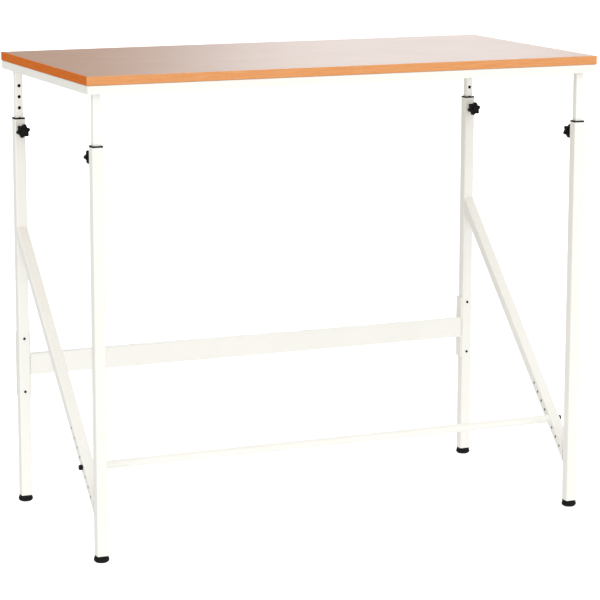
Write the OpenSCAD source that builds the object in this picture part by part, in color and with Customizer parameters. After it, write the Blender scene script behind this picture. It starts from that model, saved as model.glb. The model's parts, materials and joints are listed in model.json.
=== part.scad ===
// Stand-up work table with a telescoping welded steel base.
// Millimetres, +Z up. The origin is on the floor, under the centre of the worktop.
// The worktop is long in X. Its front edge faces -Y, and its back edge faces +Y.

/* [Worktop] */
// Width of the worktop, left to right
top_w = 1219.2; // [1100:0.1:1400]
// Depth of the worktop, front to back
top_d = 609.6; // [580:0.1:640]
// Thickness of the worktop with its laminate
top_t = 19.05; // [18:0.05:25]
// Height of the writing surface above the floor
top_z = 1060.45; // [1055:0.05:1075]
// Thickness of the laminate sheet on the core
laminate_t = 0.8; // [0.6:0.1:1.5]
// Thickness of the edge band
band_t = 3; // [2:0.5:3]
// Radius on the two long corners of the edge band
band_r = 1.2; // [0.6:0.1:1.4]

/* [Under-frame] */
// Side of the square tubes that carry the worktop
rail_s = 19.05; // [17:0.05:19.05]
// How far the under-frame stands back from the worktop's edge
rail_inset = 1; // [0.5:0.5:1]
// Thickness of the corner plates
plate_t = 3; // [2:0.5:4]
// Side of the corner plates
plate_s = 64; // [60:1:80]

/* [Legs] */
// Distance of the leg centres from the worktop's left and right edges
leg_from_side = 29.2; // [29:0.1:40]
// Distance of the leg centres from the worktop's front and back edges
leg_from_front = 31.8; // [31:0.1:45]
// Side of the outer leg tubes
leg_s = 25.4; // [25:0.1:26]
// Side of the sliding upper leg tubes
upper_s = 17.5; // [17:0.1:18]
// Wall of all the tubes
wall = 1.5; // [1.2:0.1:1.6]
// Height of the outer legs' lower ends above the floor
leg_foot_z = 15; // [15:0.5:20]
// Height of the outer legs' upper ends above the floor
leg_head_z = 908; // [904:1:912]
// Height of the sliding tubes' lower ends above the floor
upper_foot_z = 650; // [640:1:655]

/* [Height setting] */
// Height of the locking knobs above the floor
knob_z = 883.4; // [880:0.1:885]
// Distance between two height holes
hole_pitch = 25.4; // [24:0.1:25.4]
// Height holes above the knob at rest, each one step down
steps_down = 4; // [3:1:4]
// Height holes below the knob at rest, each one step up
steps_up = 8; // [6:1:8]
// Diameter of the height holes
hole_d = 8; // [6.8:0.1:9]

/* [Braces and rails] */
// Depth of the diagonal brace tubes, across their own length
brace_h = 22.2; // [19:0.1:25]
// Height of the braces' centre line at the middle of the table's depth
brace_mid_z = 381.3; // [375:0.1:390]
// Number of foot rail holes along each brace
rail_positions = 8; // [6:1:8]
// Hole that the foot rail is bolted to, counted from the top
rail_position = 5; // [1:1:6]
// Diameter of the foot rail
foot_rail_d = 19.05; // [18.5:0.05:20]
// Height of the back crossbar's tube
crossbar_h = 50.8; // [45:0.1:60]
// Height of the back crossbar's centre line above the floor
crossbar_z = 329.5; // [325:0.5:340]

/* [Hidden] */
$fn = 48;

IVORY = [0.95, 0.94, 0.88];
BEECH = [0.90, 0.56, 0.32];
GREIGE = [0.78, 0.70, 0.66];
CORE_BROWN = [0.66, 0.52, 0.38];
BLACK = [0.06, 0.06, 0.06];
ZINC = [0.72, 0.72, 0.70];

// A corner of the table is named by two signs: X is -1 on the left and 1 on
// the right, and Y is -1 at the front and 1 at the back.
LEFT = -1;
RIGHT = 1;
FRONT = -1;
BACK = 1;
SIGNS = [-1, 1];

// Fits between parts
slide_gap = 0.3;
press_gap = 0.05;
thread_gap = 0.05;

// Tubes and legs
tube_r = 3;
thin_tube_r = 2;
leg_x = top_w / 2 - leg_from_side;
leg_y = top_d / 2 - leg_from_front;
leg_bore = leg_s - 2 * wall;
leg_face_x = leg_x - leg_s / 2;
leg_face_y = leg_y - leg_s / 2;

// Under-frame and worktop
board_foot = top_z - top_t;
core_t = top_t - laminate_t;
rail_x = top_w / 2 - rail_inset;
rail_y = top_d / 2 - rail_inset;
corner_x = rail_x - rail_s;
corner_y = rail_y - rail_s;
plate_cut = 26;
upper_head_z = board_foot - plate_t;

// Wood screws, two through each corner plate and two through each long rail
screw_r = 2;
screw_head_r = 4;
screw_head_t = 2.4;
screw_bite = 12;
screw_near = 12;
screw_far = 44;
rail_screw_x = top_w / 4;
rail_access_r = 5.5;
plate_screws = [for (x = SIGNS, y = SIGNS, far_in_x = [true, false])
    [x * (corner_x - (far_in_x ? screw_far : screw_near)),
     y * (corner_y - (far_in_x ? screw_near : screw_far))]];
rail_screws = [for (x = SIGNS, y = SIGNS)
    [x * rail_screw_x, y * (rail_y - rail_s / 2)]];

// Collars and guide shoes
collar_flange = 3.4;
sleeve_depth = 18;
shoe_plug = 18;
shoe_flange = 4;

// Locking knobs, measured outwards from the leg's face
stud_r = 3;
stud_tip_clear = 0.45;
stud_tip = (leg_s - upper_s) / 2 - stud_tip_clear;
stud_hole_r = 3.5;
nut_t = 5;
nut_flats = 10;
knob_stand = 13;
neck_r = 7;
neck_t = 2;
star_t = 11.5;
lobes = 6;
lobe_r = 4.4;
lobe_at = 11.8;
star_core_r = 12;
cap_r = 6.5;
cap_t = 1.2;
knob_turn = 20;
knob_bore = 10;

// Braces, foot rail, crossbar and brackets
brace_angle = 45;
brace_hole_pitch = 25.4;
brace_first_hole = -165;
brace_hole_r = 3.5;
foot_rail_along = brace_first_hole - (rail_position - 1) * brace_hole_pitch;
foot_rail_y = foot_rail_along * sin(brace_angle);
foot_rail_z = brace_mid_z + foot_rail_along * cos(brace_angle);
rail_insert_long = 20;
rail_bolt_r = 3;
rail_bolt_grip = 14;
rail_bolt_head_r = 6;
rail_bolt_head_t = 7.5;
socket_flats = 5;
socket_deep = 4;
crossbar_deep = 19.05;
bracket_t = 3.2;
bracket_h = 152.4;
bracket_setback = 3.2;
bracket_bolt_gap = 127;
bracket_bolt_r = 2;
bracket_bolt_hole_r = 2.25;
bracket_bolt_head_r = 3;
bracket_bolt_head_t = 2.4;
bracket_nut_t = 3.2;
bracket_nut_flats = 7;
bracket_bolt_past = 2;
bracket_bolt_z = [for (s = SIGNS) crossbar_z + s * bracket_bolt_gap / 2];

// Levelling glides
insert_deep = 20;
insert_flange = 2;
glide_gap = 0.4;
glide_t = leg_foot_z - insert_flange - glide_gap;
glide_outline = [[13.5, 0], [16.2, 2.2], [17.2, 5.2], [17.2, 6.8], [16.5, 9.6], [15.2, glide_t]];
stem_r = 4;
stem_foot_z = 6.6;
stem_long = 34;
glide_bore_z = 6.3;

// Distance across a hexagon's corners, from its flats
function across_corners(flats) = flats / cos(30);

// A filled rectangle with round corners, centred
module soft_rect(w, h, r) {
    square([w, h - 2 * r], center = true);
    square([w - 2 * r, h], center = true);
    for (x = SIGNS)
        for (y = SIGNS)
            translate([x * (w / 2 - r), y * (h / 2 - r)])
                circle(r = r);
}

// A rectangular tube along Z, centred, standing on z = 0
module box_tube(w, h, r, long) {
    difference() {
        linear_extrude(long)
            soft_rect(w, h, r);
        translate([0, 0, -1])
            linear_extrude(long + 2)
                square([w - 2 * wall, h - 2 * wall], center = true);
    }
}

// A hexagonal prism along Z, standing on z = 0
module hexagon(flats, high) {
    cylinder(d = across_corners(flats), h = high, $fn = 6);
}

// Puts its children at the centre of a leg, at height z
module at_leg(x, y, z) {
    translate([x * leg_x, y * leg_y, z])
        children();
}

// Puts its children on the locking axis of a leg: the origin on the leg's inner
// face, and +Z pointing away from the leg towards the middle of the table
module at_lock(x, y) {
    translate([x * leg_x, y * leg_face_y, knob_z])
        rotate([90 * y, 0, 0])
            children();
}

// The edge band's section, along X and centred, its round corners facing -Y
module band(long) {
    rotate([90, 0, 90])
        linear_extrude(long, center = true) {
            translate([band_r, 0])
                square([band_t - band_r, top_t]);
            translate([0, band_r])
                square([band_t, top_t - 2 * band_r]);
            for (z = [band_r, top_t - band_r])
                translate([band_r, z])
                    circle(r = band_r);
        }
}

module worktop_core() {
    color(CORE_BROWN)
        difference() {
            translate([0, 0, board_foot])
                translate([0, 0, core_t / 2])
                    cube([top_w - 2 * band_t, top_d - 2 * band_t, core_t], center = true);
            for (p = concat(plate_screws, rail_screws))
                translate([p[0], p[1], board_foot - 1])
                    cylinder(r = screw_r + press_gap, h = screw_bite + 2);
        }
}

module worktop_laminate() {
    color(GREIGE)
        translate([0, 0, top_z - laminate_t / 2])
            cube([top_w - 2 * band_t, top_d - 2 * band_t, laminate_t], center = true);
}

// The front and back bands run the full width of the worktop
module long_band(y) {
    color(BEECH)
        rotate([0, 0, y == FRONT ? 0 : 180])
            translate([0, -top_d / 2, board_foot])
                band(top_w);
}

// The side bands stand between the long ones
module short_band(x) {
    color(BEECH)
        rotate([0, 0, x == LEFT ? -90 : 90])
            translate([0, -top_w / 2, board_foot])
                band(top_d - 2 * band_t);
}

// A mitred tube of the under-frame, on the front side of a frame of this size
module mitred_rail(half_long, half_wide) {
    intersection() {
        translate([-half_long, -half_wide, board_foot])
            translate([0, rail_s / 2, -rail_s / 2])
                rotate([90, 0, 90])
                    box_tube(rail_s, rail_s, thin_tube_r, 2 * half_long);
        translate([0, 0, board_foot - rail_s - 1])
            linear_extrude(rail_s + 2)
                polygon([
                    [-half_long, -half_wide], [half_long, -half_wide],
                    [half_long - rail_s, rail_s - half_wide], [rail_s - half_long, rail_s - half_wide],
                ]);
    }
}

module long_rail(y) {
    color(IVORY)
        difference() {
            rotate([0, 0, y == FRONT ? 0 : 180])
                mitred_rail(rail_x, rail_y);
            for (x = SIGNS)
                translate([x * rail_screw_x, y * (rail_y - rail_s / 2), board_foot]) {
                    translate([0, 0, -rail_s - 1])
                        cylinder(r = rail_access_r, h = rail_s / 2);
                    translate([0, 0, -rail_s / 2])
                        cylinder(r = screw_r + slide_gap, h = rail_s);
                }
        }
}

module short_rail(x) {
    color(IVORY)
        rotate([0, 0, x == LEFT ? -90 : 90])
            mitred_rail(rail_y, rail_x);
}

module corner_plate(x, y) {
    color(IVORY)
        difference() {
            translate([0, 0, upper_head_z])
                linear_extrude(plate_t)
                    polygon([
                        [x * corner_x, y * corner_y],
                        [x * (corner_x - plate_s), y * corner_y],
                        [x * (corner_x - plate_s), y * (corner_y - plate_s + plate_cut)],
                        [x * (corner_x - plate_s + plate_cut), y * (corner_y - plate_s)],
                        [x * corner_x, y * (corner_y - plate_s)],
                    ]);
            for (p = plate_screws)
                translate([p[0], p[1], upper_head_z - 1])
                    cylinder(r = screw_r + slide_gap, h = plate_t + 2);
        }
}

// A pan-head wood screw, its head under z = 0 and its shank above
module wood_screw(grip) {
    translate([0, 0, -screw_head_t])
        cylinder(r = screw_head_r, h = screw_head_t);
    cylinder(r = screw_r, h = grip + screw_bite);
}

module worktop_screws() {
    color(ZINC) {
        for (p = plate_screws)
            translate([p[0], p[1], upper_head_z])
                wood_screw(plate_t);
        for (p = rail_screws)
            translate([p[0], p[1], board_foot - wall])
                wood_screw(wall);
    }
}

module upper_leg(x, y) {
    color(IVORY)
        difference() {
            at_leg(x, y, upper_foot_z)
                box_tube(upper_s, upper_s, thin_tube_r, upper_head_z - upper_foot_z);
            for (step = [-steps_up : steps_down])
                at_leg(x, y, knob_z + step * hole_pitch)
                    rotate([90 * y, 0, 0])
                        cylinder(d = hole_d, h = upper_s);
        }
}

// A plastic plug in the sliding tube's lower end, with a foot that runs in the outer leg
module guide_shoe(x, y) {
    plug_side = upper_s - 2 * wall - 2 * press_gap;
    foot_side = leg_bore - 2 * slide_gap;
    color(BLACK)
        at_leg(x, y, upper_foot_z) {
            translate([0, 0, -shoe_flange])
                linear_extrude(shoe_flange)
                    square(foot_side, center = true);
            linear_extrude(shoe_plug)
                square(plug_side, center = true);
        }
}

module outer_leg(x, y) {
    color(IVORY)
        difference() {
            at_leg(x, y, leg_foot_z)
                box_tube(leg_s, leg_s, tube_r, leg_head_z - leg_foot_z);
            at_leg(x, y, knob_z)
                rotate([90 * y, 0, 0])
                    cylinder(r = stud_hole_r, h = leg_s);
            if (y == BACK)
                for (z = bracket_bolt_z)
                    at_leg(x, y, z)
                        rotate([90, 0, 0])
                            cylinder(r = bracket_bolt_hole_r, h = 2 * leg_s, center = true);
        }
}

// A plastic bush in the mouth of the outer leg
module collar(x, y) {
    color(BLACK)
        at_leg(x, y, leg_head_z)
            difference() {
                union() {
                    linear_extrude(collar_flange)
                        soft_rect(leg_s, leg_s, tube_r);
                    translate([0, 0, -sleeve_depth])
                        linear_extrude(sleeve_depth + collar_flange / 2)
                            square(leg_bore - 2 * press_gap, center = true);
                }
                translate([0, 0, -sleeve_depth - 1])
                    linear_extrude(sleeve_depth + collar_flange + 2)
                        square(upper_s + 2 * slide_gap, center = true);
            }
}

module stud_nuts() {
    color(IVORY)
        for (x = SIGNS)
            for (y = SIGNS)
                at_lock(x, y)
                    difference() {
                        hexagon(nut_flats, nut_t);
                        translate([0, 0, -1])
                            cylinder(r = stud_r + thread_gap, h = nut_t + 2);
                    }
}

module lock_stud(x, y) {
    color(ZINC)
        at_lock(x, y)
            translate([0, 0, -stud_tip])
                cylinder(r = stud_r, h = stud_tip + knob_stand + knob_bore - slide_gap);
}

// A knob with round lobes on straight arms, a neck behind it and a cap in front
module star_knob(x, y) {
    color(BLACK)
        at_lock(x, y)
            translate([0, 0, knob_stand])
                rotate([0, 0, knob_turn])
                    difference() {
                        union() {
                            cylinder(r = neck_r, h = neck_t + 1);
                            translate([0, 0, neck_t])
                                linear_extrude(star_t) {
                                    circle(r = star_core_r);
                                    for (i = [0 : lobes - 1])
                                        rotate(i * 360 / lobes) {
                                            translate([0, -lobe_r])
                                                square([lobe_at, 2 * lobe_r]);
                                            translate([lobe_at, 0])
                                                circle(r = lobe_r);
                                        }
                                }
                            translate([0, 0, neck_t + star_t - 1])
                                cylinder(r = cap_r, h = cap_t + 1);
                        }
                        translate([0, 0, -1])
                            cylinder(r = stud_r + thread_gap, h = knob_bore + 1);
                    }
}

// A diagonal tube between the front and back legs of one side, cut off square to them
module brace(x) {
    long = 2 * leg_y / cos(brace_angle) + 4 * brace_h;
    color(IVORY)
        difference() {
            intersection() {
                translate([x * leg_x, 0, brace_mid_z])
                    rotate([-brace_angle, 0, 0])
                        translate([0, 0, -long / 2])
                            box_tube(leg_s, brace_h, thin_tube_r, long);
                translate([x * leg_x, 0, brace_mid_z])
                    cube([2 * leg_s, 2 * leg_face_y, 2 * long], center = true);
            }
            for (i = [0 : rail_positions - 1])
                translate([x * leg_x, 0, brace_mid_z])
                    rotate([-brace_angle, 0, 0])
                        translate([0, 0, brace_first_hole - i * brace_hole_pitch])
                            rotate([0, 90, 0])
                                cylinder(r = brace_hole_r, h = 2 * leg_s, center = true);
        }
}

// Puts its children at the foot rail's right or left end, +Z pointing outwards
module at_rail_end(x) {
    translate([x * leg_face_x, foot_rail_y, foot_rail_z])
        rotate([0, 90 * x, 0])
            children();
}

module foot_rail() {
    color(IVORY)
        translate([0, foot_rail_y, foot_rail_z])
            rotate([0, 90, 0])
                difference() {
                    cylinder(d = foot_rail_d, h = 2 * leg_face_x, center = true);
                    cylinder(d = foot_rail_d - 2 * wall, h = 2 * leg_x, center = true);
                }
}

module foot_rail_inserts() {
    color(ZINC)
        for (x = SIGNS)
            at_rail_end(x)
                translate([0, 0, -rail_insert_long])
                    difference() {
                        cylinder(d = foot_rail_d - 2 * wall - 2 * press_gap, h = rail_insert_long);
                        translate([0, 0, -1])
                            cylinder(r = rail_bolt_r + thread_gap, h = rail_insert_long + 2);
                    }
}

module foot_rail_bolts() {
    color(BLACK)
        for (x = SIGNS)
            at_rail_end(x)
                difference() {
                    union() {
                        translate([0, 0, -rail_bolt_grip])
                            cylinder(r = rail_bolt_r, h = rail_bolt_grip + leg_s + 1);
                        translate([0, 0, leg_s])
                            cylinder(r = rail_bolt_head_r, h = rail_bolt_head_t);
                    }
                    translate([0, 0, leg_s + rail_bolt_head_t - socket_deep])
                        hexagon(socket_flats, socket_deep + 1);
                }
}

module crossbar() {
    half_long = leg_face_x - bracket_t;
    color(IVORY)
        translate([-half_long, leg_face_y + bracket_setback + crossbar_deep / 2, crossbar_z])
            rotate([90, 0, 90])
                box_tube(crossbar_deep, crossbar_h, thin_tube_r, 2 * half_long);
}

// An angle that wraps the leg: one flange on its inner face, one behind it
module bracket(x) {
    near_x = leg_face_x - bracket_t;
    far_x = leg_x + leg_s / 2;
    front_y = leg_face_y + bracket_setback;
    leg_back_y = leg_y + leg_s / 2;
    back_y = leg_back_y + bracket_t;
    color(IVORY)
        difference() {
            translate([0, 0, crossbar_z - bracket_h / 2])
                linear_extrude(bracket_h)
                    polygon([
                        [x * near_x, front_y], [x * leg_face_x, front_y],
                        [x * leg_face_x, leg_back_y], [x * far_x, leg_back_y],
                        [x * far_x, back_y], [x * near_x, back_y],
                    ]);
            for (z = bracket_bolt_z)
                at_leg(x, BACK, z)
                    rotate([90, 0, 0])
                        cylinder(r = bracket_bolt_hole_r, h = 2 * leg_s, center = true);
        }
}

// Puts its children at each bracket bolt: the origin on the leg's front face,
// and +Z pointing back through the leg
module at_bracket_bolts() {
    for (x = SIGNS)
        for (z = bracket_bolt_z)
            translate([x * leg_x, leg_face_y, z])
                rotate([-90, 0, 0])
                    children();
}

module bracket_bolts() {
    color(BLACK)
        at_bracket_bolts() {
            translate([0, 0, -bracket_bolt_head_t])
                cylinder(r = bracket_bolt_head_r, h = bracket_bolt_head_t);
            cylinder(r = bracket_bolt_r, h = leg_s + bracket_t + bracket_nut_t + bracket_bolt_past);
        }
}

module bracket_nuts() {
    color(ZINC)
        at_bracket_bolts()
            translate([0, 0, leg_s + bracket_t])
                difference() {
                    hexagon(bracket_nut_flats, bracket_nut_t);
                    translate([0, 0, -1])
                        cylinder(r = bracket_bolt_r + thread_gap, h = bracket_nut_t + 2);
                }
}

// Threaded plugs in the outer legs' lower ends
module leg_inserts() {
    color(BLACK)
        for (x = SIGNS)
            for (y = SIGNS)
                at_leg(x, y, leg_foot_z)
                    difference() {
                        union() {
                            translate([0, 0, -insert_flange])
                                linear_extrude(insert_flange)
                                    soft_rect(leg_s, leg_s, tube_r);
                            translate([0, 0, -insert_flange / 2])
                                linear_extrude(insert_deep + insert_flange / 2)
                                    square(leg_bore - 2 * press_gap, center = true);
                        }
                        translate([0, 0, -insert_flange - 1])
                            cylinder(r = stem_r + thread_gap, h = insert_deep + insert_flange + 2);
                    }
}

module glide_stem(x, y) {
    color(ZINC)
        at_leg(x, y, stem_foot_z)
            cylinder(r = stem_r, h = stem_long);
}

// A round foot, widest at the middle of its height
module glide_base(x, y) {
    color(BLACK)
        at_leg(x, y, 0)
            difference() {
                rotate_extrude()
                    polygon(concat([[0, 0]], glide_outline, [[0, glide_t]]));
                translate([0, 0, glide_bore_z])
                    cylinder(r = stem_r + thread_gap, h = glide_t);
            }
}

worktop_core();
worktop_laminate();
long_band(FRONT);  // edge_band_front
long_band(BACK);  // edge_band_back
short_band(LEFT);  // edge_band_left
short_band(RIGHT);  // edge_band_right
long_rail(FRONT);  // frame_rail_front
long_rail(BACK);  // frame_rail_back
short_rail(LEFT);  // frame_rail_left
short_rail(RIGHT);  // frame_rail_right
corner_plate(LEFT, FRONT);  // corner_plate_front_left
corner_plate(RIGHT, FRONT);  // corner_plate_front_right
corner_plate(LEFT, BACK);  // corner_plate_back_left
corner_plate(RIGHT, BACK);  // corner_plate_back_right
worktop_screws();
upper_leg(LEFT, FRONT);  // upper_leg_front_left
upper_leg(RIGHT, FRONT);  // upper_leg_front_right
upper_leg(LEFT, BACK);  // upper_leg_back_left
upper_leg(RIGHT, BACK);  // upper_leg_back_right
guide_shoe(LEFT, FRONT);  // guide_shoe_front_left
guide_shoe(RIGHT, FRONT);  // guide_shoe_front_right
guide_shoe(LEFT, BACK);  // guide_shoe_back_left
guide_shoe(RIGHT, BACK);  // guide_shoe_back_right
outer_leg(LEFT, FRONT);  // outer_leg_front_left
outer_leg(RIGHT, FRONT);  // outer_leg_front_right
outer_leg(LEFT, BACK);  // outer_leg_back_left
outer_leg(RIGHT, BACK);  // outer_leg_back_right
collar(LEFT, FRONT);  // collar_front_left
collar(RIGHT, FRONT);  // collar_front_right
collar(LEFT, BACK);  // collar_back_left
collar(RIGHT, BACK);  // collar_back_right
stud_nuts();
brace(LEFT);  // brace_left
brace(RIGHT);  // brace_right
foot_rail();
foot_rail_inserts();
foot_rail_bolts();
crossbar();
bracket(LEFT);  // bracket_left
bracket(RIGHT);  // bracket_right
bracket_bolts();
bracket_nuts();
leg_inserts();
lock_stud(LEFT, FRONT);  // lock_stud_front_left
lock_stud(RIGHT, FRONT);  // lock_stud_front_right
lock_stud(LEFT, BACK);  // lock_stud_back_left
lock_stud(RIGHT, BACK);  // lock_stud_back_right
star_knob(LEFT, FRONT);  // star_knob_front_left
star_knob(RIGHT, FRONT);  // star_knob_front_right
star_knob(LEFT, BACK);  // star_knob_back_left
star_knob(RIGHT, BACK);  // star_knob_back_right
glide_stem(LEFT, FRONT);  // glide_stem_front_left
glide_stem(RIGHT, FRONT);  // glide_stem_front_right
glide_stem(LEFT, BACK);  // glide_stem_back_left
glide_stem(RIGHT, BACK);  // glide_stem_back_right
glide_base(LEFT, FRONT);  // glide_base_front_left
glide_base(RIGHT, FRONT);  // glide_base_front_right
glide_base(LEFT, BACK);  // glide_base_back_left
glide_base(RIGHT, BACK);  // glide_base_back_right
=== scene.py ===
import json
import math

import bmesh
import bpy
from mathutils import Matrix, Vector, noise


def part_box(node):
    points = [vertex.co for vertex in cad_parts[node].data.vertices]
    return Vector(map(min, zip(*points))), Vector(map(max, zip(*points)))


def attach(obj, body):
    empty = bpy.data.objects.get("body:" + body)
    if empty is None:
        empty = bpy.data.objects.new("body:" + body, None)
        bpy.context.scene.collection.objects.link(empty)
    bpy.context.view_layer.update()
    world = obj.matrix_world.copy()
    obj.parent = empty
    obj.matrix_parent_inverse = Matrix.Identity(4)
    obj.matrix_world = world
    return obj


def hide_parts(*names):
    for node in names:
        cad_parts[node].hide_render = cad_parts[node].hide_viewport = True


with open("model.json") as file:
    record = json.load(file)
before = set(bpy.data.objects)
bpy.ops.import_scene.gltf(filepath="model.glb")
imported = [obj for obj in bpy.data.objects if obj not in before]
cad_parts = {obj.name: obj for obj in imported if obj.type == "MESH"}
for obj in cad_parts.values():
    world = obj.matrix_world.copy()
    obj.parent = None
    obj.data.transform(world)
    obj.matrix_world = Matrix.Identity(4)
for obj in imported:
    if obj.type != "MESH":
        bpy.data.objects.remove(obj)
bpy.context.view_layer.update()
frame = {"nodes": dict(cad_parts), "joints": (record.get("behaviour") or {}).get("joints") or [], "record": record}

MM = 0.001
TAU = 2 * math.pi
CORNERS = ("front_left", "front_right", "back_left", "back_right")


# --- Where things are, from the frame --------------------------------------

def corners_of(node):
    """The low and high corner of a CAD node's box."""
    low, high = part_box(node)
    return Vector(low), Vector(high)


def middle(node):
    """The centre of a CAD node's box."""
    low, high = corners_of(node)
    return (low + high) / 2


def size_of(node):
    """The three sides of a CAD node's box."""
    low, high = corners_of(node)
    return high - low


def side_signs(corner):
    """The signs of X and Y at a corner of the table."""
    return (-1 if "left" in corner else 1), (-1 if "front" in corner else 1)


def joint(name):
    """The record's entry for one joint."""
    return next(j for j in frame["joints"] if j["name"] == name)


# --- Shader building --------------------------------------------------------

# How many rays a Bevel node and an Ambient Occlusion node send
BEVEL_RAYS = 4
OPEN_AIR_RAYS = 16

# The cosines of a rounded edge's turn, where its wear starts and where it is full
EDGE_TURN = (0.995, 0.86)

# How open to the air a surface is where it starts to darken, and where it is dark
HOLLOW_AIR = (0.40, 0.24)


class Nodes:
    """The node tree of a material or of the world, with short calls to add nodes to it."""

    def __init__(self, owner):
        owner.use_nodes = True
        self.tree = owner.node_tree
        self.tree.nodes.clear()

    def add(self, kind, inputs=None, **settings):
        """Adds a node. Each input is a value or another node's output socket."""
        node = self.tree.nodes.new("ShaderNode" + kind)
        for key, value in settings.items():
            setattr(node, key, value)
        for key, value in (inputs or {}).items():
            if isinstance(value, bpy.types.NodeSocket):
                self.tree.links.new(value, node.inputs[key])
            else:
                node.inputs[key].default_value = value
        return node

    def ramp(self, socket, start, end, low=0.0, high=1.0, **settings):
        """Maps start..end of a socket to low..high, and clamps."""
        limits = {"From Min": start, "From Max": end, "To Min": low, "To Max": high}
        return self.add("MapRange", {"Value": socket, **limits}, **settings).outputs["Result"]

    def math(self, operation, a, b=0.0):
        """One arithmetic step on two numbers."""
        return self.add("Math", {0: a, 1: b}, operation=operation).outputs["Value"]

    def dot(self, a, b):
        """The dot product of two vectors."""
        return self.add("VectorMath", {0: a, 1: b}, operation="DOT_PRODUCT").outputs["Value"]


class Shader(Nodes):
    """A material with a Principled shader, and calls that add patterns to it.

    Its colour and roughness hold where no pattern is fed into them."""

    def __init__(self, name, color, roughness, **uniform):
        self.material = bpy.data.materials.new(name)
        super().__init__(self.material)
        self.output = self.add("OutputMaterial")
        values = {"Base Color": (*color, 1), "Roughness": roughness, **uniform}
        self.surface = self.add("BsdfPrincipled", values)
        self.show(self.surface.outputs["BSDF"])
        self.place = self.add("TexCoord").outputs["Object"]

    def show(self, socket):
        """Makes a shader socket the material's surface."""
        self.tree.links.new(socket, self.output.inputs["Surface"])

    def feed(self, key, socket):
        """Links a socket to an input of the Principled shader."""
        self.tree.links.new(socket, self.surface.inputs[key])

    def stretched(self, scale):
        """Object coordinates scaled by a vector, so that a pattern runs along an axis."""
        return self.add("Mapping", {"Vector": self.place, "Scale": scale}).outputs["Vector"]

    def noise(self, scale, detail=3.0, rough=0.55, at=None):
        """A noise pattern, scale in features per metre."""
        settings = {"Scale": scale, "Detail": detail, "Roughness": rough}
        return self.add("TexNoise", {"Vector": at or self.place, **settings}).outputs["Fac"]

    def patches(self, scale, start, end, low=0.0, high=1.0, **pattern):
        """Noise that goes from low to high between two of its levels."""
        return self.ramp(self.noise(scale, **pattern), start, end, low, high)

    def cells(self, scale, at):
        """A cell pattern: its distance and its colour outputs."""
        node = self.add("TexVoronoi", {"Vector": at, "Scale": scale})
        return node.outputs["Distance"], node.outputs["Color"]

    def mix(self, amount, a, b):
        """Mixes two colours, each a value or a socket."""
        def full(color):
            return color if isinstance(color, bpy.types.NodeSocket) else (*color, 1)
        inputs = {"Fac": amount, "Color1": full(a), "Color2": full(b)}
        return self.add("MixRGB", inputs).outputs["Color"]

    def stain(self, tone, mask, amount, color):
        """A tone with a share of another colour mixed in where a mask is white."""
        return self.mix(self.math("MULTIPLY", mask, amount), tone, color)

    def rounded(self, radius):
        """The surface's normal, with its edges rounded."""
        return self.add("Bevel", {"Radius": radius}, samples=BEVEL_RAYS).outputs["Normal"]

    def edges(self, radius):
        """White on convex and concave edges within a radius, black elsewhere."""
        sharp = self.add("NewGeometry").outputs["Normal"]
        return self.ramp(self.dot(self.rounded(radius), sharp), *EDGE_TURN)

    def spotted_edges(self, radius, spots):
        """The edges within a radius, where a mask of spots is white."""
        return self.math("MULTIPLY", self.edges(radius), spots)

    def enclosed(self, reach):
        """White where other surfaces shut the light out within a reach, as inside a tube."""
        air = self.add("AmbientOcclusion", {"Distance": reach}, samples=OPEN_AIR_RAYS)
        return self.ramp(air.outputs["AO"], *HOLLOW_AIR)

    def relief(self, *layers, round_edges=0.0):
        """Bump from layers of (height socket, depth in metres), over rounded edges."""
        normal = self.rounded(round_edges) if round_edges else None
        for height, depth in layers:
            inputs = {"Height": height, "Distance": depth, "Strength": 1.0}
            if normal:
                inputs["Normal"] = normal
            normal = self.add("Bump", inputs).outputs["Normal"]
        self.feed("Normal", normal)


# --- Colours, in linear light -------------------------------------------------

# Each material's plain colour, the two tones of its surface, and what lies on them
IVORY_PLAIN = (0.86, 0.845, 0.78)
IVORY_TONES = ((0.875, 0.865, 0.825), (0.85, 0.84, 0.795))
IVORY_SPECKS = (0.62, 0.59, 0.52)
IVORY_WORN = (0.62, 0.60, 0.55)
# The sliding tubes' tones are lighter than the legs': painted light that makes up for the worktop's shade on them
SLIDING_LIT_TONES = ((0.905, 0.897, 0.87), (0.885, 0.877, 0.84))
SLIDING_RUBBED = (0.55, 0.53, 0.49)

# Painted shade: near black where ambient occlusion finds a hollow, as inside the tubes and their holes
PAINTED_HOLLOW_SHADE = (0.012, 0.011, 0.010)

LAMINATE_PLAIN = (0.42, 0.27, 0.19)
LAMINATE_TONES = ((0.46, 0.312, 0.243), (0.486, 0.331, 0.26))
LAMINATE_FIBRE = (0.39, 0.255, 0.195)
LAMINATE_FLECKS = (0.55, 0.42, 0.34)

# The bands: pale and deep wood. The bands along Y are a darker, deeper copy: painted shade on the table's ends
BAND_X_TONES = ((0.76, 0.36, 0.15), (0.67, 0.27, 0.095))
BAND_Y_SHADED_TONES = ((0.65, 0.165, 0.016), (0.57, 0.12, 0.009))
BAND_PORES = (0.40, 0.13, 0.02)
BAND_RUBBED = (0.84, 0.42, 0.16)

BOARD_PLAIN = (0.42, 0.30, 0.19)
BOARD_TONES = ((0.44, 0.32, 0.20), (0.36, 0.25, 0.155))
BOARD_CHIPS = (0.53, 0.40, 0.26)
BOARD_DUST = (0.62, 0.49, 0.34)

PLASTIC_PLAIN = (0.008, 0.008, 0.009)
PLASTIC_TONES = ((0.002, 0.002, 0.0022), (0.0055, 0.0055, 0.0058))
# The plastic's lighter edges: wear, and a painted highlight that brings out the relief
PLASTIC_WORN_HIGHLIGHT = (0.06, 0.06, 0.063)

OXIDE_PLAIN = (0.03, 0.03, 0.032)
OXIDE_TONES = ((0.006, 0.006, 0.007), (0.018, 0.017, 0.016))
OXIDE_BRIGHT = (0.22, 0.215, 0.21)

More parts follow.
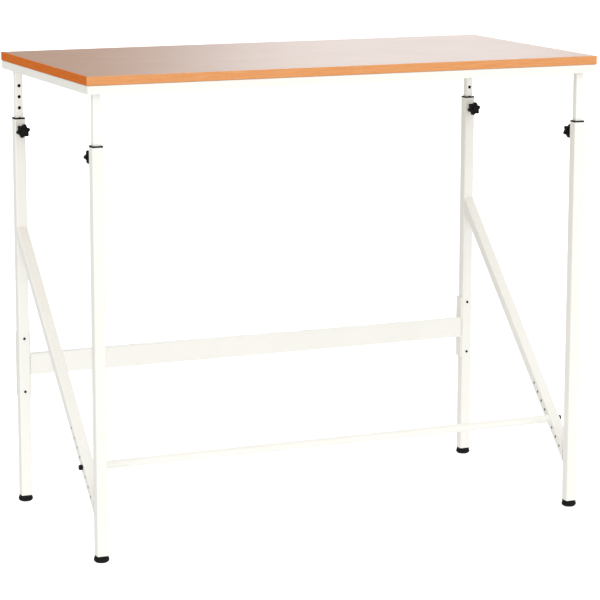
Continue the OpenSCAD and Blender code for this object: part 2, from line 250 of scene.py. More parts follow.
ZINC_PLAIN = (0.62, 0.62, 0.60)
ZINC_TONES = ((0.55, 0.56, 0.57), (0.70, 0.69, 0.64))
ZINC_SPOTS = (0.36, 0.35, 0.33)

FLOOR_PLAIN = (0.8, 0.8, 0.8)
FLOOR_GLOW = 0.55


# --- Materials ----------------------------------------------------------------

# How far across a tube's hollow is looked for
TUBE_REACH = 30 * MM


def ivory_paint():
    """Ivory powder coat: fine orange peel, uneven gloss, a little wear on the edges, painted shade in its hollows.
    """
    film_coat = {"Coat Weight": 0.12, "Coat Roughness": 0.2}
    s = Shader("ivory_paint", IVORY_PLAIN, 0.4, **film_coat)
    film = s.patches(9, 0.3, 0.7, detail=4)
    specks = s.patches(2600, 0.62, 0.74, detail=2)
    wear = s.spotted_edges(0.7 * MM, s.patches(160, 0.5, 0.72, detail=5))
    tone = s.mix(film, *IVORY_TONES)
    tone = s.stain(tone, specks, 0.12, IVORY_SPECKS)
    tone = s.stain(tone, wear, 0.35, IVORY_WORN)
    # Painted shade: near black where the surface is shut in, as inside a tube
    tone = s.mix(s.enclosed(TUBE_REACH), tone, PAINTED_HOLLOW_SHADE)
    s.feed("Base Color", tone)
    s.feed("Roughness", s.patches(38, 0.35, 0.75, 0.34, 0.5, detail=6, rough=0.7))
    orange_peel = s.noise(520, detail=2)
    grain = s.noise(1700, detail=2)
    s.relief((orange_peel, 0.05 * MM), (grain, 0.012 * MM), round_edges=0.5 * MM)
    return s.material


def rubbed_and_lit_ivory_paint():
    """The sliding tubes' powder coat, rubbed in fine lines along the tube by the collars, with painted light:
    lighter than the legs' ivory, against the worktop's shade.
    """
    film_coat = {"Coat Weight": 0.1, "Coat Roughness": 0.2}
    s = Shader("sliding_ivory_paint", IVORY_PLAIN, 0.4, **film_coat)
    film = s.patches(9, 0.3, 0.7, detail=4)
    lengthwise = s.stretched((900, 900, 14))
    rubs = s.patches(1.0, 0.6, 0.78, detail=5, rough=0.65, at=lengthwise)
    # Painted light: lighter tones than the legs' ivory, for the shade under the worktop
    tone = s.mix(film, *SLIDING_LIT_TONES)
    tone = s.stain(tone, rubs, 0.22, SLIDING_RUBBED)
    # Painted shade: near black where the surface is shut in, as inside a tube
    tone = s.mix(s.enclosed(TUBE_REACH), tone, PAINTED_HOLLOW_SHADE)
    s.feed("Base Color", tone)
    s.feed("Roughness", s.ramp(rubs, 0.0, 1.0, 0.4, 0.28))
    orange_peel = s.noise(520, detail=2)
    s.relief((orange_peel, 0.05 * MM), (rubs, -0.01 * MM), round_edges=0.5 * MM)
    return s.material


def laminate():
    """Satin laminate: a grey-beige print with fine flecks, under a clear suede wear layer."""
    wear_layer = {"Specular IOR Level": 0.0, "Coat Weight": 0.3, "Coat Roughness": 0.21}
    s = Shader("laminate", LAMINATE_PLAIN, 0.5, **wear_layer)
    clouds = s.patches(7, 0.3, 0.7, detail=5, rough=0.6)
    lengthwise = s.stretched((40, 520, 520))
    fibre = s.patches(1.0, 0.55, 0.75, detail=4, rough=0.6, at=lengthwise)
    flecks = s.patches(1300, 0.64, 0.72, detail=2)
    tone = s.mix(clouds, *LAMINATE_TONES)
    tone = s.stain(tone, fibre, 0.2, LAMINATE_FIBRE)
    tone = s.stain(tone, flecks, 0.25, LAMINATE_FLECKS)
    s.feed("Base Color", tone)
    s.feed("Roughness", s.patches(11, 0.3, 0.75, 0.45, 0.6, detail=6, rough=0.7))
    s.relief((s.noise(1500), 0.006 * MM), round_edges=0.4 * MM)
    return s.material


def edge_band(name, along, pale, deep):
    """Orange beech edge band: a printed grain of short dark flecks along the band."""
    s = Shader(name, pale, 0.5, **{"Specular IOR Level": 0.06})
    long_grain = [420, 420, 420]
    long_grain[along] = 16
    short_grain = [1500, 1500, 1500]
    short_grain[along] = 130
    streaks = s.patches(1.0, 0.32, 0.68, detail=5, rough=0.6, at=s.stretched(long_grain))
    pores = s.patches(1.0, 0.62, 0.70, detail=2, rough=0.5, at=s.stretched(short_grain))
    bright_edges = s.spotted_edges(0.8 * MM, s.patches(90, 0.4, 0.7, detail=4))
    tone = s.mix(streaks, deep, pale)
    tone = s.stain(tone, pores, 0.5, BAND_PORES)
    tone = s.stain(tone, bright_edges, 0.2, BAND_RUBBED)
    s.feed("Base Color", tone)
    s.feed("Roughness", s.patches(60, 0.3, 0.7, 0.42, 0.56, detail=4))
    film = s.noise(2400, detail=2)
    s.relief((pores, -0.02 * MM), (film, 0.006 * MM), round_edges=0.5 * MM)
    return s.material


def particleboard():
    """The board's underside: pressed wood chips under a thin brown backing film."""
    s = Shader("particleboard", BOARD_PLAIN, 0.75)
    chip_edge, chip_color = s.cells(260, at=s.stretched((1, 1.7, 1)))
    chips = s.ramp(chip_color, 0.3, 0.7)
    dust = s.patches(700, 0.55, 0.75)
    tone = s.mix(s.patches(14, 0.3, 0.7, detail=4), *BOARD_TONES)
    tone = s.stain(tone, chips, 0.3, BOARD_CHIPS)
    tone = s.stain(tone, dust, 0.35, BOARD_DUST)
    s.feed("Base Color", tone)
    s.relief((chip_edge, 0.06 * MM), (s.noise(900, detail=4), 0.05 * MM))
    return s.material


def black_plastic():
    """Moulded black nylon: spark-eroded grain, faint flow marks, greyer on its edges from wear and a painted
    highlight.
    """
    s = Shader("black_plastic", PLASTIC_PLAIN, 0.4, **{"Specular IOR Level": 0.14})
    flow = s.patches(70, 0.3, 0.7)
    # Partly wear, partly painted highlight: lighter rims that bring out the relief
    bright_edges = s.spotted_edges(0.8 * MM, s.patches(420, 0.35, 0.7, detail=4))
    tone = s.mix(flow, *PLASTIC_TONES)
    tone = s.stain(tone, bright_edges, 0.8, PLASTIC_WORN_HIGHLIGHT)
    s.feed("Base Color", tone)
    s.feed("Roughness", s.patches(240, 0.3, 0.7, 0.34, 0.52, detail=4))
    grain = s.noise(2200, detail=2)
    sinks = s.noise(160, detail=2)
    s.relief((grain, 0.02 * MM), (sinks, 0.05 * MM), round_edges=0.3 * MM)
    return s.material


def black_steel():
    """Black oxide bolts: dark satin metal, with bright steel showing on the edges."""
    s = Shader("black_steel", OXIDE_PLAIN, 0.38, Metallic=0.85)
    cloud = s.patches(500, 0.35, 0.7, detail=4)
    bright = s.spotted_edges(0.4 * MM, s.patches(900, 0.45, 0.6))
    tone = s.mix(cloud, *OXIDE_TONES)
    tone = s.stain(tone, bright, 0.5, OXIDE_BRIGHT)
    s.feed("Base Color", tone)
    s.feed("Roughness", s.patches(1200, 0.3, 0.7, 0.3, 0.48))
    s.relief((s.noise(3000, detail=2), 0.01 * MM), round_edges=0.25 * MM)
    return s.material


def zinc_steel():
    """Zinc plated screws, studs and nuts: bright metal, with cloudy and bluish patches."""
    s = Shader("zinc_steel", ZINC_PLAIN, 0.32, Metallic=1.0)
    cloud = s.patches(320, 0.3, 0.7, detail=5)
    spots = s.patches(1500, 0.66, 0.74)
    tone = s.mix(cloud, *ZINC_TONES)
    tone = s.stain(tone, spots, 0.5, ZINC_SPOTS)
    s.feed("Base Color", tone)
    s.feed("Roughness", s.patches(700, 0.3, 0.7, 0.24, 0.44, detail=4))
    s.relief((s.noise(2400, detail=2), 0.012 * MM), round_edges=0.2 * MM)
    return s.material


def studio_floor():
    """A plain white floor, clear from below, so that the table's underside can be seen."""
    glow = {"Emission Color": (1, 1, 1, 1), "Emission Strength": FLOOR_GLOW}
    s = Shader("studio_floor", FLOOR_PLAIN, 0.9, **glow)
    s.feed("Roughness", s.patches(3, 0.3, 0.7, 0.85, 0.95))
    clear = s.add("BsdfTransparent").outputs["BSDF"]
    below = s.add("NewGeometry").outputs["Backfacing"]
    both = s.add("MixShader", {0: below, 1: s.surface.outputs["BSDF"], 2: clear})
    s.show(both.outputs["Shader"])
    return s.material


BY_SLOT = {
    "laminate": laminate(),
    "edge_band": edge_band("edge_band_along_x", 0, *BAND_X_TONES),
    "particleboard": particleboard(),
    "ivory_paint": ivory_paint(),
    "black_plastic": black_plastic(),
    "black_steel": black_steel(),
    "zinc_steel": zinc_steel(),
}
# Painted shade: the bands on the table's ends get darker, deeper tones than the front and back bands
SHADED_SIDE_BAND = edge_band("edge_band_along_y_shaded", 1, *BAND_Y_SHADED_TONES)
SLIDING_IVORY = rubbed_and_lit_ivory_paint()


def material_for(node, slot):
    """The material of a CAD node: by its slot, apart from the side bands, with painted shade, and the sliding
    tubes, with painted light.
    """
    if node in ("edge_band_left", "edge_band_right"):
        return SHADED_SIDE_BAND
    if node.startswith("upper_leg"):
        return SLIDING_IVORY
    return BY_SLOT[slot]


def paint_cad_nodes():
    """Gives each CAD node its material."""
    for part in frame["record"]["subparts"]:
        shape = frame["nodes"][part["node"]]
        finish = material_for(part["node"], part["material_slot"])
        for held in shape.material_slots:
            held.material = finish


# --- Mesh building -------------------------------------------------------------

# Points round a turned shape, a knob, a threaded rod and a weld bead
TURNED_ROUND = 72
KNOB_ROUND = 144
THREAD_ROUND = 32
BEAD_ROUND = 12

# Rings for each turn of a thread, and a thread's depth as a share of its pitch
RINGS_PER_TURN = 10
THREAD_DEPTH = 0.6

# The largest share of a side that one rounded corner takes up
MOST_OF_SIDE = 0.49

# An edge between two faces is smooth up to this angle
SMOOTH_BELOW = math.radians(35)

# Half the width of a cross recess's arms, as a share of their reach, and the least sine that
# it is divided by
CROSS_ARM = 0.28
LEAST_SINE = 0.01


def skin(rings, closed_start=True, closed_end=True):
    """A mesh from rings of points with equal counts, joined by quads and capped at its ends."""
    bm = bmesh.new()
    loops = [[bm.verts.new(p) for p in ring] for ring in rings]
    count = len(loops[0])
    for a, b in zip(loops, loops[1:]):
        for i in range(count):
            j = (i + 1) % count
            bm.faces.new((a[i], a[j], b[j], b[i]))
    if closed_start:
        bm.faces.new(list(reversed(loops[0])))
    if closed_end:
        bm.faces.new(loops[-1])
    return bm


def fillet(outline, radius, steps=4):
    """Rounds the inner corners of a 2D outline with short curves. Its ends stay in place."""
    points = [Vector(p) for p in outline]
    out = [points[0]]
    for before, corner, after in zip(points, points[1:], points[2:]):
        back = before - corner
        on = after - corner
        turn = math.pi - back.angle(on)
        longest = MOST_OF_SIDE * min(back.length, on.length)
        reach = min(radius * math.tan(turn / 2), longest)
        start = corner + back.normalized() * reach
        end = corner + on.normalized() * reach
        for i in range(steps + 1):
            t = i / steps
            out.append(start * (1 - t) ** 2 + corner * 2 * t * (1 - t) + end * t ** 2)
    out.append(points[-1])
    return out


def in_metres(outline):
    """An outline given in millimetres."""
    return [Vector(p) * MM for p in outline]


def circle(angle):
    """The radius of a unit circle."""
    return 1.0


def hexagon(angle):
    """The radius of a hexagon with unit distance from its centre to its flats."""
    third = math.pi / 3
    return 1 / math.cos((angle % third) - third / 2)


def cross(angle):
    """The radius of a cross with arms that reach one unit from its centre."""
    quarter = math.pi / 2
    off = abs((angle + quarter / 2) % quarter - quarter / 2)
    return min(1 / math.cos(off), CROSS_ARM / max(math.sin(off), LEAST_SINE))


def star(angle, lobes=6, valley=0.76, narrowness=1.05):
    """The radius of a star knob: broad round lobes one unit out, narrow hollows between."""
    return 1 - (1 - valley) * ((1 - math.cos(lobes * angle)) / 2) ** narrowness


def turned(profile, shapes=None, count=TURNED_ROUND):
    """Rings for a profile of (radius, height) points round Z, each with its own outline."""
    shapes = shapes or [circle] * len(profile)
    angles = [TAU * i / count for i in range(count)]
    rings = []
    for (radius, height), shape in zip(profile, shapes):
        reaches = [radius * shape(a) for a in angles]
        ring = [Vector((r * math.cos(a), r * math.sin(a), height)) for r, a in zip(reaches, angles)]
        rings.append(ring)
    return rings


def threaded(radius, pitch, start, end):
    """Rings for a threaded rod along Z, with a chamfer at each end."""
    depth = THREAD_DEPTH * pitch
    steps = round((end - start) / pitch * RINGS_PER_TURN)
    rings = []
    for i in range(steps + 1):
        z = start + (end - start) * i / steps
        near_end = min(z - start, end - z)
        cap = radius - max(0.0, depth - near_end)
        ring = []
        for k in range(THREAD_ROUND):
            a = TAU * k / THREAD_ROUND
            phase = (z / pitch - a / TAU) % 1
            r = min(cap, radius - depth * abs(2 * phase - 1))
            ring.append(Vector((r * math.cos(a), r * math.sin(a), z)))
        rings.append(ring)
    return rings


def piece(name, bm, slot, body, place=None, replaces=()):
    """A finished piece: a mesh in the frame's metres, riding on a body."""
    if place:
        bm.transform(place)
    bmesh.ops.recalc_face_normals(bm, faces=bm.faces)
    mesh = bpy.data.meshes.new(name)
    bm.to_mesh(mesh)
    bm.free()
    mesh.shade_smooth()
    mesh.set_sharp_from_angle(angle=SMOOTH_BELOW)
    mesh.materials.append(BY_SLOT[slot])
    made = bpy.data.objects.new(name, mesh)
    bpy.context.scene.collection.objects.link(made)
    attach(made, body)
    if replaces:
        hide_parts(*replaces)


def merged(parts):
    """One bmesh from several."""
    whole = bmesh.new()
    for part in parts:
        mesh = bpy.data.meshes.new("part")
        part.to_mesh(mesh)
        part.free()
        whole.from_mesh(mesh)
        bpy.data.meshes.remove(mesh)
    return whole


def moved(bm, place):
    """A bmesh, after a transform."""
    bm.transform(place)
    return bm


def towards(direction):
    """The turn that takes +Z to a direction."""
    return Vector(direction).to_track_quat("Z", "Y").to_matrix().to_4x4()


# --- Star knobs and their studs -------------------------------------------------

# How far each knob is turned in its hand-tightened rest position, in degrees
KNOB_TURNS = {"front_left": -2, "front_right": 40, "back_left": 14, "back_right": 15}

# A knob's outline as (radius, height over its back) in millimetres: the stud's hole and the
# neck, the lobed rim, and the dished face with a domed cap in its middle
KNOB_HUB = ((3.15, 9.0), (3.15, 0.0), (7.0, 0.0), (6.58, 1.9))
KNOB_RIM = ((10.98, 2.3), (16.2, 2.5), (16.2, 12.9), (12.2, 13.3))
KNOB_FACE = (
    (12.2, 13.3), (9.4, 13.1), (8.6, 12.1), (6.6, 12.2), (6.6, 13.9), (5.28, 14.5), (0.2, 14.7),
)
KNOB_RIM_ROUNDING = 2.0 * MM
KNOB_FACE_ROUNDING = 0.6 * MM

# It is round within the first radius and a full star beyond the second: on its back, and on
# its face, which begins at the height given last
KNOB_BACK_STAR = (7.0 * MM, 10.98 * MM)
KNOB_FACE_STAR = (9.0 * MM, 12.2 * MM)
KNOB_FACE_FROM = 12.5 * MM

STUD_PITCH = 1.0 * MM


def knob_outline(point):
    """The outline of a knob at a point of its profile: round, a star, or between the two."""
    radius, height = point
    start, end = KNOB_FACE_STAR if height > KNOB_FACE_FROM else KNOB_BACK_STAR
    share = min(1.0, max(0.0, (radius - start) / (end - start)))
    return lambda angle: 1 + share * (star(angle) - 1)


def star_knob(corner):
    """A star knob: a neck, six round lobes, a dished face and a domed cap over the stud."""
    node = f"star_knob_{corner}"
    _, y = side_signs(corner)
    place = middle(node)
    axis_z = joint(f"star_knob_turn_{corner}")["pos_m"][2]
    back = Vector((place.x, place.y + y * size_of(node).y / 2, axis_z))

    rim = fillet(in_metres(KNOB_RIM), KNOB_RIM_ROUNDING, steps=6)
    face = fillet(in_metres(KNOB_FACE), KNOB_FACE_ROUNDING)
    profile = [*in_metres(KNOB_HUB), *rim, *face[1:]]
    rings = turned(profile, [knob_outline(p) for p in profile], KNOB_ROUND)
    turn = Matrix.Rotation(math.radians(KNOB_TURNS[corner]), 4, "Z")
    seat = Matrix.Translation(back) @ towards((0, -y, 0)) @ turn
    shape = skin(rings, closed_start=False)
    piece(f"knob_{corner}", shape, "black_plastic", node, seat, [node])


def lock_stud(corner):
    """The knob's threaded stud."""
    node = f"lock_stud_{corner}"
    _, y = side_signs(corner)
    size = size_of(node)
    tip = middle(node) + Vector((0, y * size.y / 2, 0))
    seat = Matrix.Translation(tip) @ towards((0, -y, 0))
    rod = skin(threaded(size.x / 2, STUD_PITCH, 0.0, size.y))
    piece(f"stud_{corner}", rod, "zinc_steel", node, seat, [node])


# --- Levelling glides -------------------------------------------------------------

# A glide's outline in millimetres. Its hollow sole, as (radius, height)
GLIDE_SOLE = ((0.3, 0.5), (9.5, 0.5), (10.2, 0.0), (13.2, 0.0))

# Its side, as (distance in from the rim, height)
GLIDE_SIDE = ((1.2, 2.2), (0.0, 5.0), (0.0, 6.9), (0.8, 7.2), (0.8, 7.9), (0.4, 8.2))

# Its neck, as (distance out from the stem's hole, depth under the top)
GLIDE_NECK = ((3.4, 0.0), (2.8, 0.8), (0.0, 0.8), (0.0, 5.0))

# The shoulder's distance in from the rim, the stem's hole, and the rounding of the corners
GLIDE_SHOULDER = 2.0 * MM
GLIDE_BORE = 4.1 * MM
GLIDE_ROUNDING = 0.5 * MM

GLIDE_PITCH = 1.25 * MM


def glide_foot(corner):
    """A glide's round moulded foot."""
    node = f"glide_base_{corner}"
    size = size_of(node)
    wide, high = size.x / 2, size.z
    side = [(wide - inwards * MM, z * MM) for inwards, z in GLIDE_SIDE]
    shoulder = (wide - GLIDE_SHOULDER, high)
    neck = [(GLIDE_BORE + out * MM, high - down * MM) for out, down in GLIDE_NECK]
    outline = [*in_metres(GLIDE_SOLE), *side, shoulder, *neck]
    shape = skin(turned(fillet(outline, GLIDE_ROUNDING, steps=3)), closed_end=False)
    seat = Matrix.Translation(middle(node) - Vector((0, 0, high / 2)))
    piece(f"glide_{corner}", shape, "black_plastic", node, seat, [node])


def glide_screw(corner):
    """A glide's threaded stem."""
    node = f"glide_stem_{corner}"
    size = size_of(node)
    rod = skin(threaded(size.x / 2, GLIDE_PITCH, 0.0, size.z))
    seat = Matrix.Translation(middle(node) - Vector((0, 0, size.z / 2)))
    piece(f"glide_screw_{corner}", rod, "zinc_steel", node, seat, [node])


# --- Bolts and screws ---------------------------------------------------------------

# Foot rail bolts: M6 cap heads. The thread starts a little inside the head
RAIL_HEAD_HIGH = 7.5 * MM
RAIL_THREAD_R = 3.0 * MM
RAIL_PITCH = 1.0 * MM
RAIL_SHANK = 39 * MM
INTO_HEAD = 0.2 * MM

# Bracket bolts: M4 pan heads, and their nuts
BRACKET_HEAD_R = 3.0 * MM
BRACKET_HEAD_HIGH = 2.4 * MM
BRACKET_THREAD_R = 2.0 * MM
BRACKET_PITCH = 0.7 * MM
BRACKET_NUT_FLATS = 7 * MM
BRACKET_NUT_BORE = 2.04 * MM

# Weld nuts for the M6 locking studs
WELD_NUT_FLATS = 10 * MM
WELD_NUT_HIGH = 5 * MM
WELD_NUT_BORE = 3.04 * MM

# The sides of a cap head and a pan head, as shares of the head's (radius, height)
CAP_SIDE = ((0.94, 0.0), (1.0, 0.06), (1.0, 0.9), (0.86, 1.0))
PAN_SIDE = ((0.97, 0.0), (1.0, 0.15), (0.9, 0.7), (0.62, 1.0))
HEAD_ROUNDING = 0.5 * MM

# A cap head's socket: half its width across the flats as a share of the head's radius, its
# depth as a share of the head's height, its mouth as a share of its flats, the depth of its
# chamfer and of the cone in its floor
SOCKET_FLATS = 0.42
SOCKET_DEPTH = 0.53
SOCKET_MOUTH = 1.18
SOCKET_CHAMFER = 0.25 * MM
SOCKET_CONE = 0.4 * MM

# A pan head's recess: its reach and depth as shares of the head, how far it narrows, and the
# depth of the cone in its floor
RECESS_REACH = 0.55
RECESS_DEPTH = 0.6
RECESS_TAPER = 0.8
RECESS_CONE = 0.3 * MM

# The radius at the tip of a recess's cone
CONE_TIP = 0.1 * MM

# A nut's corner chamfer, its face as a share of the flats, and the lead-in of its thread
NUT_CHAMFER = 0.45 * MM
NUT_FACE = 0.97
NUT_LEAD_IN = 0.3 * MM
NUT_MOUTH = 1.12


def head_side(shares, radius, high):
    """The rounded side of a bolt head."""
    return fillet([(radius * r, high * z) for r, z in shares], HEAD_ROUNDING)


def socket_head(radius, high):
    """A cap head with a hexagon socket, standing on z = 0."""
    side = head_side(CAP_SIDE, radius, high)
    flats = radius * SOCKET_FLATS
    floor = high - high * SOCKET_DEPTH
    socket = [
        (flats * SOCKET_MOUTH, high),
        (flats, high - SOCKET_CHAMFER),
        (flats, floor),
        (CONE_TIP, floor - SOCKET_CONE),
    ]
    shapes = [circle] * len(side) + [circle, hexagon, hexagon, circle]
    return skin(turned([*side, *socket], shapes))


def pan_head(radius, high):
    """A pan head with a cross recess, standing on z = 0."""
    dome = head_side(PAN_SIDE, radius, high)
    arm = radius * RECESS_REACH
    floor = high - high * RECESS_DEPTH
    recess = [(arm, high), (arm * RECESS_TAPER, floor), (CONE_TIP, floor - RECESS_CONE)]
    shapes = [circle] * len(dome) + [cross, cross, circle]
    return skin(turned([*dome, *recess], shapes))


def hex_nut(flats, high, bore):
    """A hexagonal nut with chamfered corners, standing on z = 0."""
    half = flats / 2
    profile = [
        (bore, NUT_LEAD_IN),
        (bore * NUT_MOUTH, 0.0),
        (half * NUT_FACE, 0.0),
        (half, NUT_CHAMFER),
        (half, high - NUT_CHAMFER),
        (half * NUT_FACE, high),
        (bore * NUT_MOUTH, high),
        (bore, high - NUT_LEAD_IN),
        (bore, NUT_LEAD_IN),
    ]
    shapes = [circle] * 3 + [hexagon] * 2 + [circle] * 4
    return skin(turned(profile, shapes), closed_start=False, closed_end=False)


def foot_rail_bolts():
    """Cap-head bolts through the braces into the foot rail's ends."""
    low, high = corners_of("foot_rail_bolts")
    axis = (low + high) / 2
    radius = (high.z - low.z) / 2
    parts = []
    for x, end in ((-1, low.x), (1, high.x)):
        under_head = Vector((end - x * RAIL_HEAD_HIGH, axis.y, axis.z))
        out = Matrix.Translation(under_head) @ towards((x, 0, 0))
        shank = skin(threaded(RAIL_THREAD_R, RAIL_PITCH, -RAIL_SHANK, INTO_HEAD))
        parts.append(moved(socket_head(radius, RAIL_HEAD_HIGH), out))
        parts.append(moved(shank, out))
    piece("rail_bolts", merged(parts), "black_steel", "base", replaces=["foot_rail_bolts"])


def bracket_bolt(x, y, z, long):
    """A pan-head bolt from the front, with the underside of its head at a point."""
    front = Matrix.Translation((x, y, z)) @ towards((0, -1, 0))
    head = pan_head(BRACKET_HEAD_R, BRACKET_HEAD_HIGH)
    shank = skin(threaded(BRACKET_THREAD_R, BRACKET_PITCH, -long, INTO_HEAD))
    return [moved(head, front), moved(shank, front)]


def bracket_hardware():
    """Pan-head bolts through the back legs into nuts behind the brackets."""
    low, high = corners_of("bracket_bolts")
    nuts_low, nuts_high = corners_of("bracket_nuts")
    long = high.y - low.y - BRACKET_HEAD_HIGH
    bolts, nuts = [], []
    for x in (low.x + BRACKET_HEAD_R, high.x - BRACKET_HEAD_R):
        for z in (low.z + BRACKET_HEAD_R, high.z - BRACKET_HEAD_R):
            bolts += bracket_bolt(x, low.y + BRACKET_HEAD_HIGH, z, long)
            nut = hex_nut(BRACKET_NUT_FLATS, nuts_high.y - nuts_low.y, BRACKET_NUT_BORE)
            rear = Matrix.Translation((x, nuts_low.y, z)) @ towards((0, 1, 0))
            nuts.append(moved(nut, rear))
    piece("bracket_screws", merged(bolts), "black_steel", "base", replaces=["bracket_bolts"])
    piece("bracket_hex_nuts", merged(nuts), "zinc_steel", "base", replaces=["bracket_nuts"])


def weld_nuts():
    """The nuts that the locking studs run in, painted with the legs."""
    flat_up = Matrix.Rotation(math.pi / 6, 4, "Z")
    parts = []
    for corner in CORNERS:
        _, y = side_signs(corner)
        pivot = Vector(joint(f"star_knob_turn_{corner}")["pos_m"])
        seat = Matrix.Translation(pivot) @ towards((0, -y, 0)) @ flat_up
        parts.append(moved(hex_nut(WELD_NUT_FLATS, WELD_NUT_HIGH, WELD_NUT_BORE), seat))
    piece("weld_nuts", merged(parts), "ivory_paint", "base", replaces=["stud_nuts"])


# --- Weld beads -----------------------------------------------------------------------

# The radii of the beads
BRACE_BEAD = 1.5 * MM
CROSSBAR_BEAD = 1.3 * MM
LEG_BEAD = 1.3 * MM
PLATE_BEAD = 1.4 * MM

# How far they stop short of the ends of their seams
BRACE_INSET = 3.2 * MM
CROSSBAR_INSET = 2.4 * MM
LEG_INSET = 2.2 * MM

# Where a corner plate's beads start and end, as shares of its side
PLATE_SPAN = (0.4, 0.9)

# The length and height of a bead's ripples, and the rings for each
RIPPLE_LONG = 2.2 * MM
RIPPLE_HIGH = 0.16
RINGS_PER_RIPPLE = 5

# How uneven a bead is, and how often that changes along a metre
UNEVEN = 0.12
UNEVEN_PER_METRE = 400

# A bead's tapered ends: their length, and how far into the taper they start, in radii
TAPER_LONG = 1.5
TAPER_START = 0.15


def weld_bead(start, end, radius, seed):
    """A straight rippled weld bead with tapered ends. The seed makes it unlike the others."""
    start, end = Vector(start), Vector(end)
    long = (end - start).length
    along = (end - start).normalized()
    across = along.orthogonal().normalized()
    up = along.cross(across)
    shift = Vector((seed, 0, 0))
    steps = round(long / RIPPLE_LONG * RINGS_PER_RIPPLE)
    rings = []
    for i in range(steps + 1):
        at = long * i / steps
        centre = start + along * at
        from_end = min(at, long - at) + TAPER_START * radius
        taper = min(1.0, from_end / (TAPER_LONG * radius))
        ripple = RIPPLE_HIGH * abs(math.sin(math.pi * at / RIPPLE_LONG))
        uneven = UNEVEN * noise.noise(centre * UNEVEN_PER_METRE + shift)
        r = radius * (1 + ripple + uneven) * math.sqrt(taper)
        ring = []
        for k in range(BEAD_ROUND):
            a = TAU * k / BEAD_ROUND
            ring.append(centre + across * r * math.cos(a) + up * r * math.sin(a))
        rings.append(ring)
    return skin(rings)


def brace_welds():
    """Beads over and under each end of the braces, where they meet the legs."""
    parts = []
    for side in ("left", "right"):
        low, high = corners_of(f"brace_{side}")
        depth_on_leg = (high.z - low.z) - (high.y - low.y)
        seams = (
            (high.y, high.z),
            (high.y, high.z - depth_on_leg),
            (low.y, low.z),
            (low.y, low.z + depth_on_leg),
        )
        for n, (y, z) in enumerate(seams):
            start = (low.x + BRACE_INSET, y, z)
            end = (high.x - BRACE_INSET, y, z)
            parts.append(weld_bead(start, end, BRACE_BEAD, n + 9 * low.x))
    piece("brace_welds", merged(parts), "ivory_paint", "base")


def crossbar_welds():
    """A bead round each end of the crossbar, where it meets its bracket."""
    low, high = corners_of("crossbar")
    inset = CROSSBAR_INSET
    parts = []
    for x in (low.x, high.x):
        for y in (low.y, high.y):
            start, end = (x, y, low.z + inset), (x, y, high.z - inset)
            parts.append(weld_bead(start, end, CROSSBAR_BEAD, x * 7 + y))
        for z in (low.z, high.z):
            start, end = (x, low.y + inset, z), (x, high.y - inset, z)
            parts.append(weld_bead(start, end, CROSSBAR_BEAD, x * 5 + z))
    piece("crossbar_welds", merged(parts), "ivory_paint", "base")


def outer_first(low, high, sign):
    """The two ends of a range, the one further from the table's middle first."""
    return (high, low) if sign > 0 else (low, high)


def plate_beads(corner):
    """Beads along the two outer edges of a corner plate."""
    sx, sy = side_signs(corner)
    low, high = corners_of(f"corner_plate_{corner}")
    outer_x, inner_x = outer_first(low.x, high.x, sx)
    outer_y, inner_y = outer_first(low.y, high.y, sy)
    near_x, far_x = (outer_x + (inner_x - outer_x) * share for share in PLATE_SPAN)
    near_y, far_y = (outer_y + (inner_y - outer_y) * share for share in PLATE_SPAN)
    z = low.z
    along_x = weld_bead((near_x, outer_y, z), (far_x, outer_y, z), PLATE_BEAD, sx + 2 * sy)
    along_y = weld_bead((outer_x, near_y, z), (outer_x, far_y, z), PLATE_BEAD, 2 * sx + sy)
    return [along_x, along_y]


def leg_head_beads(corner):
    """Beads on the two inner sides of a sliding leg, under its corner plate."""
    sx, sy = side_signs(corner)
    low, high = corners_of(f"upper_leg_{corner}")
    _, x = outer_first(low.x, high.x, sx)
    _, y = outer_first(low.y, high.y, sy)
    z = corners_of(f"corner_plate_{corner}")[0].z
    inset = LEG_INSET
    along_x = weld_bead((low.x + inset, y, z), (high.x - inset, y, z), LEG_BEAD, sx + 5)
    along_y = weld_bead((x, low.y + inset, z), (x, high.y - inset, z), LEG_BEAD, sy + 5)
    return [along_x, along_y]


def under_frame_welds():
    """The beads of the four corner plates and leg heads."""
    parts = []
    for corner in CORNERS:
        parts += plate_beads(corner)
        parts += leg_head_beads(corner)
    piece("under_frame_welds", merged(parts), "ivory_paint", "top")


# --- Stage, light and camera -------------------------------------------------------------

# Half the side of the floor, in metres
FLOOR_HALF = 40

# The room's light: its swing towards its brightest side, its mean at eye level and at the
# ceiling and floor, and the sines of elevation between which it changes
ROOM_FROM = Vector((-0.1, -0.42, 0.06))
ROOM_LEVEL = 0.74
ROOM_ENDS = 1.1
ROOM_RISE = (0.12, 0.5)
ROOM_TINT = (1.0, 1.0, 0.985)

# A tall soft strip behind the table, seen as the sheen on the worktop: the way it stands, the
# sines to either side where it ends and where it is full, its strength and its tint
STRIP_AZIMUTH = math.radians(26.3)
STRIP_SIDE = (0.145, 0.03)
STRIP_STRENGTH = 3.1
STRIP_TINT = (0.82, 0.955, 1.03)

# It has no twin in front of the table: the cosines from it where it ends and where it is full
STRIP_BACK = (0.1, 0.5)

# The room is darker round the strip: how much of its light is left there, and the cosines
# of the angles from the strip between which it falls
CORNER_SHADE = 0.25
CORNER_EDGE = (0.75, 0.95)

# What the camera sees beyond the floor
BACKGROUND = (1.0, 1.0, 1.0)

# The viewpoint, with its lens and sensor in millimetres
CAMERA_AT = Vector((-2.3101, -5.3219, 1.6061))
CAMERA_AZIMUTH = math.radians(-23.539)
CAMERA_ELEVATION = math.radians(10.91)
CAMERA_ROLL = math.radians(0.109)
CAMERA_LENS = 152.39
CAMERA_SENSOR = 36


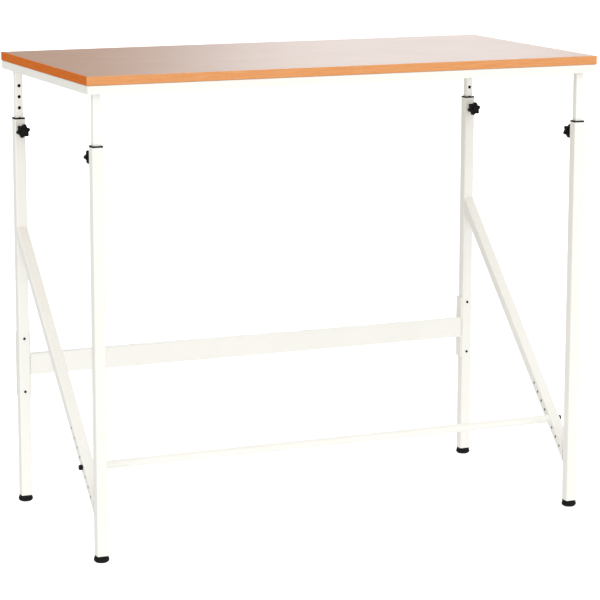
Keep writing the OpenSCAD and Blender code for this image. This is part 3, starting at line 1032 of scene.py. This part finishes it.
def stage():
    """A large plain floor, as low as the glides reach, that the table doesn't reflect."""
    bm = bmesh.new()
    bmesh.ops.create_grid(bm, x_segments=1, y_segments=1, size=FLOOR_HALF)
    mesh = bpy.data.meshes.new("floor")
    bm.to_mesh(mesh)
    bm.free()
    mesh.materials.append(studio_floor())
    floor = bpy.data.objects.new("floor", mesh)
    bpy.context.scene.collection.objects.link(floor)
    floor.location.z = -joint("glide_travel_front_left")["range_m"][1]
    floor.visible_diffuse = False
    floor.visible_glossy = False


def soft_ramp(world, *values):
    """A ramp that starts and ends softly."""
    return world.ramp(*values, interpolation_type="SMOOTHSTEP")


def room_light(world, looking, facing):
    """The room: brighter at the front, above and below, and darker round the strip."""
    swing = world.dot(looking, ROOM_FROM)
    height = world.add("SeparateXYZ", {0: looking}).outputs["Z"]
    slope = world.math("ABSOLUTE", height)
    mean = soft_ramp(world, slope, *ROOM_RISE, ROOM_LEVEL, ROOM_ENDS)
    shade = soft_ramp(world, facing, *CORNER_EDGE, 1.0, CORNER_SHADE)
    level = world.math("MULTIPLY", world.math("ADD", mean, swing), shade)
    glow = world.add("Background", {"Color": (*ROOM_TINT, 1), "Strength": level})
    return glow.outputs["Background"]


def strip_light(world, looking, facing, beside):
    """The tall soft strip behind the table."""
    off_side = world.math("ABSOLUTE", world.dot(looking, beside))
    across = soft_ramp(world, off_side, *STRIP_SIDE, 0.0, STRIP_STRENGTH)
    behind = soft_ramp(world, facing, *STRIP_BACK, 0.0, 1.0)
    level = world.math("MULTIPLY", across, behind)
    glow = world.add("Background", {"Color": (*STRIP_TINT, 1), "Strength": level})
    return glow.outputs["Background"]


def light_room():
    """The world: the room and its strip light the table, before a plain background."""
    studio = bpy.data.worlds.new("studio")
    bpy.context.scene.world = studio
    world = Nodes(studio)
    looking = world.add("TexCoord").outputs["Generated"]
    ahead = Vector((math.sin(STRIP_AZIMUTH), math.cos(STRIP_AZIMUTH), 0))
    beside = Vector((ahead.y, -ahead.x, 0))
    facing = world.dot(looking, ahead)
    room = room_light(world, looking, facing)
    strip = strip_light(world, looking, facing, beside)
    light = world.add("AddShader", {0: room, 1: strip}).outputs["Shader"]
    plain = world.add("Background", {"Color": (*BACKGROUND, 1)}).outputs["Background"]
    from_camera = world.add("LightPath").outputs["Is Camera Ray"]
    seen = world.add("MixShader", {0: from_camera, 1: light, 2: plain}).outputs["Shader"]
    world.add("OutputWorld", {"Surface": seen})


def camera():
    """The viewpoint: front left and a little above, with a long lens."""
    away = Vector((0, 0, 1))
    away.rotate(Matrix.Rotation(math.pi / 2 - CAMERA_ELEVATION, 3, "X"))
    away.rotate(Matrix.Rotation(CAMERA_AZIMUTH, 3, "Z"))
    level = (-away).to_track_quat("-Z", "Y").to_matrix().to_4x4()
    roll = Matrix.Rotation(CAMERA_ROLL, 4, "Z")
    data = bpy.data.cameras.new("camera")
    data.lens = CAMERA_LENS
    data.sensor_width = CAMERA_SENSOR
    view = bpy.data.objects.new("camera", data)
    view.matrix_world = Matrix.Translation(CAMERA_AT) @ level @ roll
    bpy.context.scene.collection.objects.link(view)
    bpy.context.scene.camera = view


# --- The scene ----------------------------------------------------------------------------

camera()
stage()
light_room()
bpy.context.scene.view_settings.view_transform = "Standard"

paint_cad_nodes()
for corner in CORNERS:
    star_knob(corner)
    lock_stud(corner)
    glide_foot(corner)
    glide_screw(corner)
foot_rail_bolts()
bracket_hardware()
weld_nuts()
brace_welds()
crossbar_welds()
under_frame_welds()
